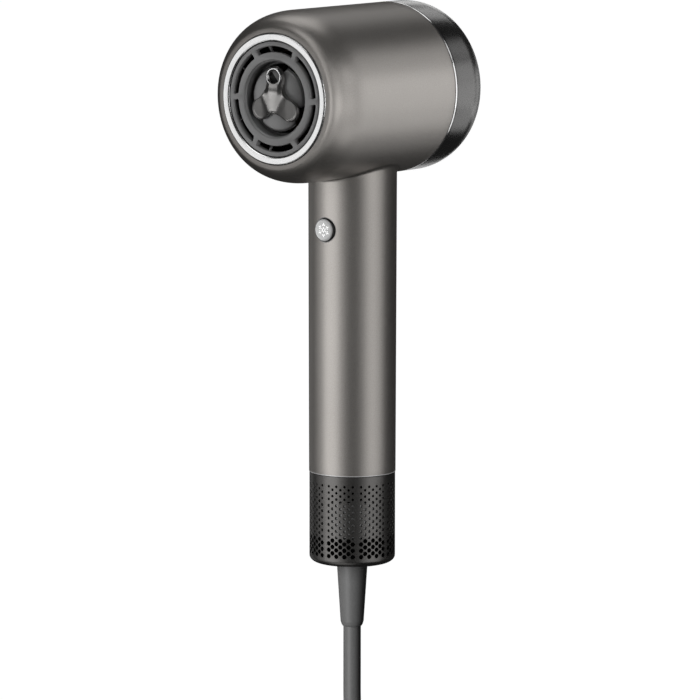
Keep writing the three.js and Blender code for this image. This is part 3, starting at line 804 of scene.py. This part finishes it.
def outlet_centre():
    """Petals, the three-armed cover on them, and a window with its bezel in the cover's upper arm."""
    height_field("petal_disc", petal_reach, petal_height, PETAL_BACK, PETAL,
                 replaces="petal_diffuser", slot="petal_grey")
    cover = height_field("three_arm_cover", cover_reach, cover_height, COVER_BACK, DARK_CHROME,
                         rings=44, steps=300, sharp=60, replaces="sensor_cover", slot="cover_dark_chrome")
    cut_with(cover, prism(circle(WINDOW_R + 0.12, 64, (0, WINDOW_AT[2])), -57, -49))
    # Window: dark glass with a painted reflection over its upper right half.
    turned("sensor_window", [
        (0, WINDOW_Y, 0), (WINDOW_R - 0.2, WINDOW_Y + 0.05, 0), (WINDOW_R, WINDOW_Y + 0.2, 0),
        (WINDOW_R, COVER_BACK, 0), (0, COVER_BACK, 0),
    ], WINDOW_REFLECTION, "Y", 48, WINDOW_AT, closed=False, replaces="sensor_lens", slot="lens_dark")
    turned("sensor_bezel", [
        (WINDOW_R + 0.02, -52.7, 0.1), (WINDOW_R + 0.02, -54.0, 0.1), (WINDOW_R + 0.5, -54.85, 0.3),
        (WINDOW_R + 1.25, -54.75, 0.35), (WINDOW_R + 1.35, -53.0, 0.1),
    ], SILVER, "Y", 64, WINDOW_AT, slot="trim_bright")


outlet_ring()
outlet_face()
outlet_centre()


# ---- handle ----
HANDLE_R = 19.33
HANDLE_TAPER = 0.0027
HANDLE_IN = HANDLE_R - 1.6
HANDLE_END = -60.65
HANDLE_TOP = 76
END_ROUND = 0.25
FLARE = 1.5
KEY_Z = 48.2
HOLE_IN, HOLE_OUT = 5.2, 5.62
SLIDER_Z = 22
STATUS_Z = 62
WALL_CUT = (12, 26)


def handle_radius(z):
    return HANDLE_R + HANDLE_TAPER * z


def head_underside(x, lift):
    """Height of the head's lower surface over a point, lowered by a small lift."""
    return HEAD_Z - math.sqrt(max(0, (HEAD_R + lift) ** 2 - x ** 2))


def handle_line(c, s):
    """The tube's wall in one direction: up the outside, a fillet onto the head, down the inside."""
    radius = handle_radius(HANDLE_TOP)
    edge = handle_radius(HANDLE_END)
    seat = 0.12
    join = head_underside(radius * c, seat)
    far = radius + FLARE
    start = Vector((radius * c, radius * s, join - FLARE))
    corner = Vector((radius * c, radius * s, join))
    end = Vector((far * c, far * s, head_underside(far * c, seat)))
    line = [(HANDLE_IN * c, HANDLE_IN * s, HANDLE_END)]
    for k in range(4):
        turn = math.pi / 2 * k / 3
        r = edge - END_ROUND + END_ROUND * math.sin(turn)
        line.append((r * c, r * s, HANDLE_END + END_ROUND - END_ROUND * math.cos(turn)))
    rows = 44
    for k in range(1, rows):
        z = HANDLE_END + END_ROUND + (start.z - HANDLE_END - END_ROUND) * k / rows
        line.append((handle_radius(z) * c, handle_radius(z) * s, z))
    for k in range(8):
        t = k / 7
        line.append((1 - t) ** 2 * start + 2 * t * (1 - t) * corner + t * t * end)
    return line + [(r * c, r * s, head_underside(r * c, seat - 0.03))
                   for r in (radius + 0.7, radius - 0.4, HANDLE_IN)]


def handle_shell():
    """Tube whose top flares in a small fillet onto the head, with the holes for keys, slider and lens."""
    steps = 160
    bm = bmesh.new()
    angles = [2 * math.pi * j / steps for j in range(steps)]
    skin(bm, [[bm.verts.new(p) for p in handle_line(math.cos(a), math.sin(a))] for a in angles])
    shell = finish_mesh("handle_tube", bm, PAINT, replaces="handle_shell", slot="body_paint")
    for side in (-1, 1):
        cut_with(shell, prism(circle(HOLE_OUT, 72, (0, KEY_Z)), *(side * y for y in WALL_CUT)))
    cut_with(shell, prism(stadium(7.0, 21.0, (0, SLIDER_Z + 4)), *WALL_CUT))
    cut_with(shell, prism(circle(1.5, 32, (0, STATUS_Z)), *WALL_CUT))


def stadium(width, height, centre, steps=16):
    """Upright slot outline with round ends."""
    r = width / 2
    rise = height / 2 - r
    return [(centre[0] + side * r * math.cos(math.pi * k / steps),
             centre[1] + side * (rise + r * math.sin(math.pi * k / steps)))
            for side in (1, -1) for k in range(steps + 1)]


def key_bezel(side, name):
    """Chamfer that follows the round wall about a button's hole, coloured light grey as a painted highlight;
    side is -1 at the outlet.
    """
    steps = 72
    section = [(HOLE_OUT - 0.02, 0.02), (HOLE_IN + 0.08, 0.26), (HOLE_IN, 0.36), (HOLE_IN, 1.5),
               (HOLE_OUT - 0.02, 1.5)]
    bm = bmesh.new()
    rings = []
    for j in range(steps):
        angle = 2 * math.pi * j / steps
        ring = []
        for radius, depth in section:
            x, z = radius * math.cos(angle), KEY_Z + radius * math.sin(angle)
            wall = math.sqrt(handle_radius(z) ** 2 - x ** 2)
            ring.append(bm.verts.new((x, side * (wall - depth), z)))
        rings.append(ring)
    skin(bm, rings)
    finish_mesh(name, bm, EDGE_HIGHLIGHT, sharp=30, slot="trim_bright")


def key(side, name):
    """Button: black body with a silver face plate."""
    def part(suffix, corners, look, **kept):
        turned(f"{name}_{suffix}", [(r, side * y, radius) for r, y, radius in corners], look, "Y", 72,
               (0, 0, KEY_Z), closed=False, body=name, slot="button_silver", **kept)

    part("body", [
        (0, 15.8, 0), (5.8, 15.8, 0.2), (5.8, 16.35, 0.2), (4.95, 16.5, 0.2), (4.95, 19.9, 0.2), (0, 20.0, 0),
    ], BLACK, replaces=f"{name}_button")
    part("face", [
        (0, 20.02, 0), (4.88, 20.02, 0.05), (4.93, 20.2, 0.12), (4.55, 20.42, 0.2), (4.15, 20.28, 0.2),
        (0, 20.2, 0),
    ], BUTTON)


def snowflake():
    """Generic six-armed snowflake inlaid in the cool-shot button."""
    bm = bmesh.new()

    def bar(angle, start, length, lean, width):
        geometry = bmesh.ops.create_cube(bm, size=1)["verts"]
        bmesh.ops.scale(bm, vec=Vector((length, 0.12, width)), verts=geometry)
        place = Matrix.Rotation(-angle, 4, "Y") @ Matrix.Translation(Vector((start, 0, 0)))
        place = place @ Matrix.Rotation(-lean, 4, "Y") @ Matrix.Translation(Vector((length / 2, 0, 0)))
        bmesh.ops.transform(bm, matrix=place, verts=geometry)

    for k in range(6):
        angle = math.pi / 2 + math.pi / 3 * k
        bar(angle, 0.0, 3.1, 0, 0.46)
        for lean in (-0.7, 0.7):
            bar(angle, 1.5, 1.15, lean, 0.42)
    bmesh.ops.translate(bm, vec=Vector((0, -20.26, KEY_Z)), verts=bm.verts)
    finish_mesh("cool_shot_snowflake", bm, SNOW, body="cool_shot", slot="button_silver")


handle_shell()
EDGE_R = handle_radius(HANDLE_END)
# Thin ring at the handle's lower end, light grey as a painted highlight on the edge.
turned("handle_edge", [
    (EDGE_R - 1, HANDLE_END - 0.12, 0.1), (EDGE_R - 0.02, HANDLE_END - 0.12, 0.1),
    (EDGE_R + 0.02, HANDLE_END + 0.3, 0.05), (EDGE_R - 1, HANDLE_END + 0.3, 0.1),
], EDGE_HIGHLIGHT, steps=160, slot="trim_bright")
for side, name in ((-1, "cool_shot"), (1, "temperature")):
    key_bezel(side, f"{name}_bezel")
    key(side, name)
snowflake()


# ---- intake cage: real holes in seven staggered columns a sector ----
CAGE_R = 19.0
CAGE_IN = CAGE_R - 0.7
CAGE_TOP, CAGE_BOTTOM = -60.95, -101.6
SECTORS = 8
COLUMNS = 7
COLUMN_STEP = 2 * math.pi / SECTORS / (COLUMNS + 1)
ROWS = 12
ROW_STEP = 2.84
HALF_ROW = ROW_STEP / 2
GRID_TOP = -65.3 + HALF_ROW
GRID_BOTTOM = GRID_TOP - ROWS * ROW_STEP
FRONT_ANGLE = -math.pi / 2
CORD_HOLE_R = 7.2


def hole_radius(z):
    """Small holes above, a little larger from the fourth row on, wide ones in the lowest rows."""
    return 0.98 if z < -88.8 else 0.64 if z < -72 else 0.54


def cage():
    bm = bmesh.new()
    seen = {}

    def vertex(angle, z, radius):
        """Vertex on the grid, shared by the cells that meet there."""
        spot = (round(angle % (2 * math.pi), 5) % round(2 * math.pi, 5), round(z, 4), round(radius, 4))
        if spot not in seen:
            seen[spot] = bm.verts.new((radius * math.cos(angle), radius * math.sin(angle), z))
        return seen[spot]

    def cell(angle, z):
        """One column wide and one row high, with its hole through the wall, chamfered outside."""
        w, h = COLUMN_STEP / 2, HALF_ROW
        border = [(w, 0), (w, h), (0, h), (-w, h), (-w, 0), (-w, -h), (0, -h), (w, -h)]
        rings = []
        for radius, grow in ((CAGE_R, 0.07), (CAGE_R - 0.08, 0), (CAGE_IN, 0)):
            r = hole_radius(z) + grow
            ring = []
            for a in (2 * math.pi * k / 16 for k in range(16)):
                turn = angle + r / CAGE_R * math.cos(a)
                ring.append(bm.verts.new((radius * math.cos(turn), radius * math.sin(turn),
                                          z + r * math.sin(a))))
            rings.append(ring)
        skin(bm, rings, row_loop=False)
        for ring, radius in ((rings[0], CAGE_R), (rings[2], CAGE_IN)):
            edge = [vertex(angle + da, z + dz, radius) for da, dz in border]
            for k in range(8):
                hole = (ring[(2 * k + 2) % 16], ring[2 * k + 1], ring[2 * k])
                bm.faces.new([edge[k], edge[(k + 1) % 8], *hole])

    def plain(low_angle, high_angle, low, high):
        """Stretch of both walls without a hole, two quads wide."""
        line = [low_angle, (low_angle + high_angle) / 2, high_angle]
        for radius in (CAGE_R, CAGE_IN):
            skin(bm, [[vertex(a, z, radius) for a in line] for z in (low, high)], False, False)

    angles = []
    sector = 2 * math.pi / SECTORS
    strip = sector - COLUMNS * COLUMN_STEP
    for s in range(SECTORS):
        start = FRONT_ANGLE + s * sector + strip / 2
        for c in range(COLUMNS):
            left, middle, right = (start + (c + part) * COLUMN_STEP for part in (0, 0.5, 1))
            angles += [left, middle]
            shifted = c % 2
            if shifted:
                plain(left, right, GRID_TOP - HALF_ROW, GRID_TOP)
                plain(left, right, GRID_BOTTOM, GRID_BOTTOM + HALF_ROW)
            for row in range(ROWS - shifted):
                cell(middle, GRID_TOP - (row + 0.5 * (1 + shifted)) * ROW_STEP)
        end = start + COLUMNS * COLUMN_STEP
        angles += [end, end + strip / 2]
        for row in range(2 * ROWS):
            plain(end, end + strip, GRID_TOP - (row + 1) * HALF_ROW, GRID_TOP - row * HALF_ROW)
    rim = [(CAGE_R, GRID_TOP, 0), (CAGE_R, CAGE_TOP, 0.12), (CAGE_IN, CAGE_TOP, 0.12), (CAGE_IN, GRID_TOP, 0)]
    foot = [(CAGE_R, GRID_BOTTOM, 0)]
    foot += [(CAGE_R - 4.5 + a, CAGE_BOTTOM + 3.2 - b, 0) for a, b in arc_points(4.5, 3.2, 10)[1:]]
    foot += [(CORD_HOLE_R, CAGE_BOTTOM, 0.3), (CORD_HOLE_R, CAGE_BOTTOM + 1.8, 0.3),
             (CAGE_R - 5, CAGE_BOTTOM + 1.8, 0.5), (CAGE_IN, GRID_BOTTOM, 0)]
    for line in (rounded(rim, False), rounded(foot, False)):
        skin(bm, [[vertex(a, z, r) for r, z in line] for a in angles], line_loop=False)
    finish_mesh("intake_cage", bm, GUNMETAL, sharp=32, body="filter", replaces="filter_cage",
                slot="cage_dark")


def filter_tube(name, inner, outer, low, high, look, edge=0.1, **kept):
    turned(name, [(inner, low, edge), (outer, low, edge), (outer, high, edge), (inner, high, edge)],
           look, body="filter", **kept)


cage()
filter_tube("filter_liner", 17.8, 18.05, -88.2, -72.6, WEAVE, 0.05, steps=160, replaces="filter_mesh",
            slot="mesh_steel")
# Black sleeve inside the lowest, wide holes: painted shade standing in for the dark inside of the cage.
filter_tube("filter_sleeve", 17.1, 17.4, -98.2, -88.3, BLACK, steps=96, slot="plastic_black")
filter_tube("filter_collar", 16.85, 17.2, -63.8, -62.3, STEEL, replaces="filter_top_ring", slot="steel")
turned("cord_relief", [
    (4.25, -96.5, 0.2), (8.6, -96.5, 0.3), (8.6, -99.6, 0.3), (6.85, -99.7, 0.1), (6.85, -102.0, 0.4),
    (5.15, -128.4, 0.5), (4.7, -129.8, 0.4), (4.3, -130.5, 0.2), (CORD_D / 2 + 0.05, GUARD_END, 0),
], CORD, steps=96, replaces="cord_guard", slot="cord_grey")


# ---- user's side: slider and status lens ----
def slider():
    """Thumb slider with five ribs."""
    bm = prism(stadium(6.3, 12.3, (0, SLIDER_Z), 20), 16.2, 20.5)
    made = finish_mesh("speed_slider", bm, BUTTON, body="power", replaces="power_slider",
                       slot="button_silver")
    modifier = made.modifiers.new("soft_edge", "BEVEL")
    modifier.width = 0.5 * MM
    modifier.segments = 4
    modifier.limit_method = "ANGLE"
    apply_modifiers(made)
    for k in range(5):
        soft_box(f"slider_rib_{k + 1}", (4.2, 0.5, 0.5), 0.15, (0, 20.6, SLIDER_Z + 1.3 * (k - 2)), BUTTON,
                 body="power", slot="button_silver")


slider()
turned("status_window", [(0, 15, 0), (1.3, 15, 0), (1.3, 19.35, 0.25), (0, 19.45, 0)], LENS, "Y", 32,
       (0, 0, STATUS_Z), closed=False, replaces="status_lens", slot="lens_dark")


# ---- tie and plug ----
def band_outline(width, depth, radius, steps=8):
    return rounded([(x * width / 2, y * depth / 2, radius) for x, y in ((-1, -1), (1, -1), (1, 1), (-1, 1))],
                   steps=steps)


def hank_tie():
    """Band round the hank, thickest in its middle."""
    bm = bmesh.new()
    middle = HANK_TOP - HANK_RUN / 2
    rows = [(0.05, -4.4), (0.9, -4.5), (1.3, -4.1), (1.35, 0), (1.3, 4.1), (0.9, 4.5), (0.05, 4.4)]
    skin(bm, [[bm.verts.new((x, y, middle + z))
               for x, y in band_outline(47.4 + 2 * out, 56.4 + 2 * out, 3 + out)] for out, z in rows])
    return finish_mesh("cord_tie", bm, RUBBER, sharp=50, replaces="hank_tie", slot="rubber_black")


RELIEF_LENGTH = 23.1
PLUG_LENGTH = 32.0
BLADE_PITCH = 12.7
BLADE_SIZE = (6.3, 1.5, 17)


def plug_relief():
    """Ribbed strain relief: six soft rings on a taper."""
    line = [(CORD_D / 2 + 0.05, PLUG_TOP, 0), (4.8, PLUG_TOP, 0.3)]
    for k in range(6):
        z = PLUG_TOP - 2.5 - 3.2 * k
        r = 5.0 + 0.25 * k
        line += [(r, z, 0.3), (r - 0.7, z - 0.6, 0.25), (r - 0.7, z - 1.4, 0.25), (r + 0.1, z - 2.0, 0.3)]
    end = PLUG_TOP - RELIEF_LENGTH
    line += [(6.6, end + 1.1, 0.4), (6.6, end, 0.1), (CORD_D / 2 + 0.05, end, 0)]
    return turned("plug_relief", line, CORD, steps=72, centre=(PLUG_X, PLUG_Y, 0), replaces="plug_guard",
                  slot="cord_grey")


def plug_body():
    """Flat plug, waisted for the fingers: rows of drop, width, depth and corner radius."""
    bm = bmesh.new()
    top = PLUG_TOP - RELIEF_LENGTH - 0.1
    rows = [(0, 13, 12, 5.5), (0.4, 14.6, 15, 6), (2.2, 16.0, 18.5, 6.5), (5, 16.8, 22, 7), (9, 17, 24.5, 7),
            (15, 16.4, 25.2, 7), (21, 16.6, 25.6, 7), (28, 17, 26, 7), (30.8, 16.8, 25.8, 6.8),
            (31.6, 16, 25, 6.4), (31.9, 14.6, 23.6, 5.8)]
    capped(bm, [[bm.verts.new((PLUG_X + u, PLUG_Y + v, top - drop))
                 for u, v in band_outline(width, depth, radius, 10)] for drop, width, depth, radius in rows])
    return finish_mesh("plug_housing", bm, PLUG, sharp=50, replaces="plug_body", slot="plug_plastic")


def plug_blade(side, name):
    middle = PLUG_TOP - RELIEF_LENGTH - PLUG_LENGTH - 0.5 - BLADE_SIZE[2] / 2
    return soft_box(f"blade_{name}", BLADE_SIZE, 0.35, (PLUG_X, PLUG_Y + side * BLADE_PITCH / 2, middle),
                    BRASS, replaces=f"plug_blade_{name}", slot="brass")


tie = hank_tie()
relief = plug_relief()
housing = plug_body()
blades = [plug_blade(-1, "left"), plug_blade(1, "right")]


# ---- floor, world and lights ----
FLOOR_R = 40
FLOOR_DROP = 0.04
AMBIENT = 0.03


def stage():
    """Plain pale floor well below the part."""
    bm = bmesh.new()
    bmesh.ops.create_circle(bm, cap_ends=True, radius=FLOOR_R, segments=64)
    mesh = bpy.data.meshes.new("floor")
    bm.to_mesh(mesh)
    bm.free()
    floor = add_object("floor", mesh)
    floor.location.z = cad_box[0][2] - FLOOR_DROP
    look = bpy.data.materials.new("pale_floor")
    look.use_nodes = True
    set_inputs(look.node_tree.nodes["Principled BSDF"], Base_Color=(0.5, 0.5, 0.5, 1), Roughness=0.9,
               Emission_Color=(1, 1, 1, 1), Emission_Strength=1.0)
    mesh.materials.append(look)
    floor.visible_glossy = False
    floor.visible_diffuse = False


def world():
    """White where the camera sees it, and nearly dark to the part."""
    made = bpy.data.worlds.new("studio")
    bpy.context.scene.world = made
    made.use_nodes = True
    tree = made.node_tree
    back = set_inputs(tree.nodes["Background"], Color=(1, 1, 1, 1))
    path = tree.nodes.new("ShaderNodeLightPath")
    mix = tree.nodes.new("ShaderNodeMix")
    mix.data_type = "FLOAT"
    set_inputs(mix, A=AMBIENT, B=1.0)
    tree.links.new(path.outputs["Is Camera Ray"], mix.inputs["Factor"])
    tree.links.new(mix.outputs["Result"], back.inputs["Strength"])


def light_group(name, prefixes):
    """Collection of the pieces that a set of lights is kept to."""
    group = bpy.data.collections.new(name)
    for piece in bpy.data.objects:
        if piece.type in ("MESH", "CURVE") and piece.name.startswith(prefixes):
            group.objects.link(piece)
    return group


def softbox(name, azimuth, elevation, size, glow, only, aim, distance=1.2):
    """Rectangular light of a given radiance; its azimuth counts from the camera's, in degrees."""
    data = bpy.data.lights.new(name, "AREA")
    data.shape = "RECTANGLE"
    data.size, data.size_y = size
    data.energy = glow * math.pi * size[0] * size[1]
    light = add_object(name, data)
    outward = direction(VIEW_AZIMUTH + math.radians(azimuth), math.radians(elevation))
    light.location = Vector(aim) * MM + outward * distance
    light.rotation_euler = outward.to_track_quat("Z", "Y").to_euler()
    light.light_linking.receiver_collection = only


# name, azimuth and elevation, width and height in metres, radiance, and the distance where it isn't 1.2 m
HEAD_LIGHTS = [
    ("side", 103, -8, 0.6, 0.4, 1.78), ("side_low", 109, -25, 0.6, 0.3, 1.35),
    ("side_lowest", 126, -36, 0.5, 0.3, 0.45), ("side_high", 104, 9, 0.6, 0.3, 2.1),
    ("side_highest", 112, 26, 0.6, 0.3, 1.2), ("back_top", 163, 34, 0.4, 0.35, 0.6),
    ("over_back", -168, 66, 0.9, 0.7, 1.5), ("right", 62, -8, 0.8, 0.6, 1.5),
    ("right_high", 66, 22, 0.8, 0.5, 1.4), ("right_low", 72, -38, 0.9, 0.5, 1.2),
    ("front_right", 20, -8, 0.8, 0.6, 2.2), ("front_right_high", 22, 22, 0.8, 0.5, 1.1),
    ("front_right_low", 20, -38, 0.9, 0.5, 0.9), ("front_left", -33, -8, 0.9, 0.6, 2.0),
    ("front_left_high", -30, 22, 0.8, 0.4, 1.2), ("front_left_low", -33, -38, 0.9, 0.5, 0.5),
    ("left", -77, -8, 0.5, 0.5, 1.0), ("left_high", -45, 50, 0.7, 0.5, 1.6),
]
REAR_LIGHTS = [
    ("side", 103, -8, 0.6, 0.4, 1.35), ("side_low", 112, -26, 0.5, 0.4, 1.1),
    ("side_high", 104, 10, 0.5, 0.35, 1.25), ("side_highest", 113, 27, 0.4, 0.3, 0.75),
    ("back_top", 158, 36, 0.35, 0.3, 1.3), ("top_back", 176, 18, 0.5, 0.3, 1.4),
    ("back_right", 130, -8, 0.4, 0.6, 1.0), ("back", 152, -8, 0.3, 0.6, 0.5),
    ("back_low", 175, -21, 0.4, 0.3, 0.9),
]
OUTLET_LIGHTS = [
    ("face", -85, -8, 0.3, 0.3, 1.15, 0.4), ("high", -60, 48, 0.8, 0.5, 1.8), ("right", 30, 0, 0.5, 0.9, 3.6),
    ("low", -70, -55, 0.8, 0.4, 1.0), ("far_left", -125, 0, 0.5, 0.9, 0.5),
]
COVER_LIGHTS = [
    ("face", -77, -1, 0.6, 0.32, 2.0), ("high", -62, 44, 0.5, 0.3, 2.4), ("right", 30, 0, 0.4, 0.9, 0.9),
    ("fill", -60, -20, 1.6, 1.4, 0.13),
]
HANDLE_LIGHTS = [
    ("left", -59, 0, 0.95, 1.9, 2.2), ("left_edge", -96, 0, 0.6, 1.9, 0.53),
    ("left_inner", -29, 0, 0.33, 1.9, 0.77), ("front", 0, 0, 0.95, 1.9, 0.1),
    ("right_inner", 31, 0, 0.33, 1.9, 0.65), ("right", 53, 0, 0.64, 1.9, 1.5),
    ("right_edge", 77, 0, 0.34, 1.9, 1.0), ("back_left", -140, 0, 0.4, 1.9, 0.3),
    ("under", -50, -64, 1.0, 0.7, 0.9),
]
CORD_LIGHTS = [("left", -41, 0, 0.66, 1.9, 4.9), ("behind", 178, 25, 0.6, 1.2, 0.8)]

HEAD = (0, 0, HEAD_Z)
GRIP = (0, 0, 0)
CORD_LEAD = (0, 0, -140)
# name, point aimed at, lights, and what the lit pieces' names start with
LIT_GROUPS = (
    ("lit_head", HEAD, HEAD_LIGHTS, ("head_housing",)),
    ("lit_rear", HEAD, REAR_LIGHTS, ("rear_cover", "rear_bright")),
    ("lit_outlet", HEAD, OUTLET_LIGHTS, ("outlet_", "petal_disc")),
    ("lit_cover", HEAD, COVER_LIGHTS, ("three_arm", "sensor_window", "sensor_bezel")),
    ("lit_handle", GRIP, HANDLE_LIGHTS, (
        "handle_tube", "handle_edge", "cool_shot_b", "cool_shot_f", "cool_shot_snow", "temperature_b",
        "temperature_f", "intake_cage", "filter_liner", "speed_slider", "slider_rib", "status_window")),
    ("lit_cord", CORD_LEAD, CORD_LIGHTS, (
        "mains_cord", "cord_relief", "cord_tie", "plug_relief", "plug_housing", "blade_")),
)


def light_all():
    for group_name, aim, lights, prefixes in LIT_GROUPS:
        group = light_group(group_name, prefixes)
        for name, azimuth, elevation, width, height, glow, *distance in lights:
            softbox(f"{group_name}_{name}", azimuth, elevation, (width, height), glow, group, aim, *distance)


bpy.context.scene.view_settings.view_transform = "Standard"
stage()
world()
light_all()
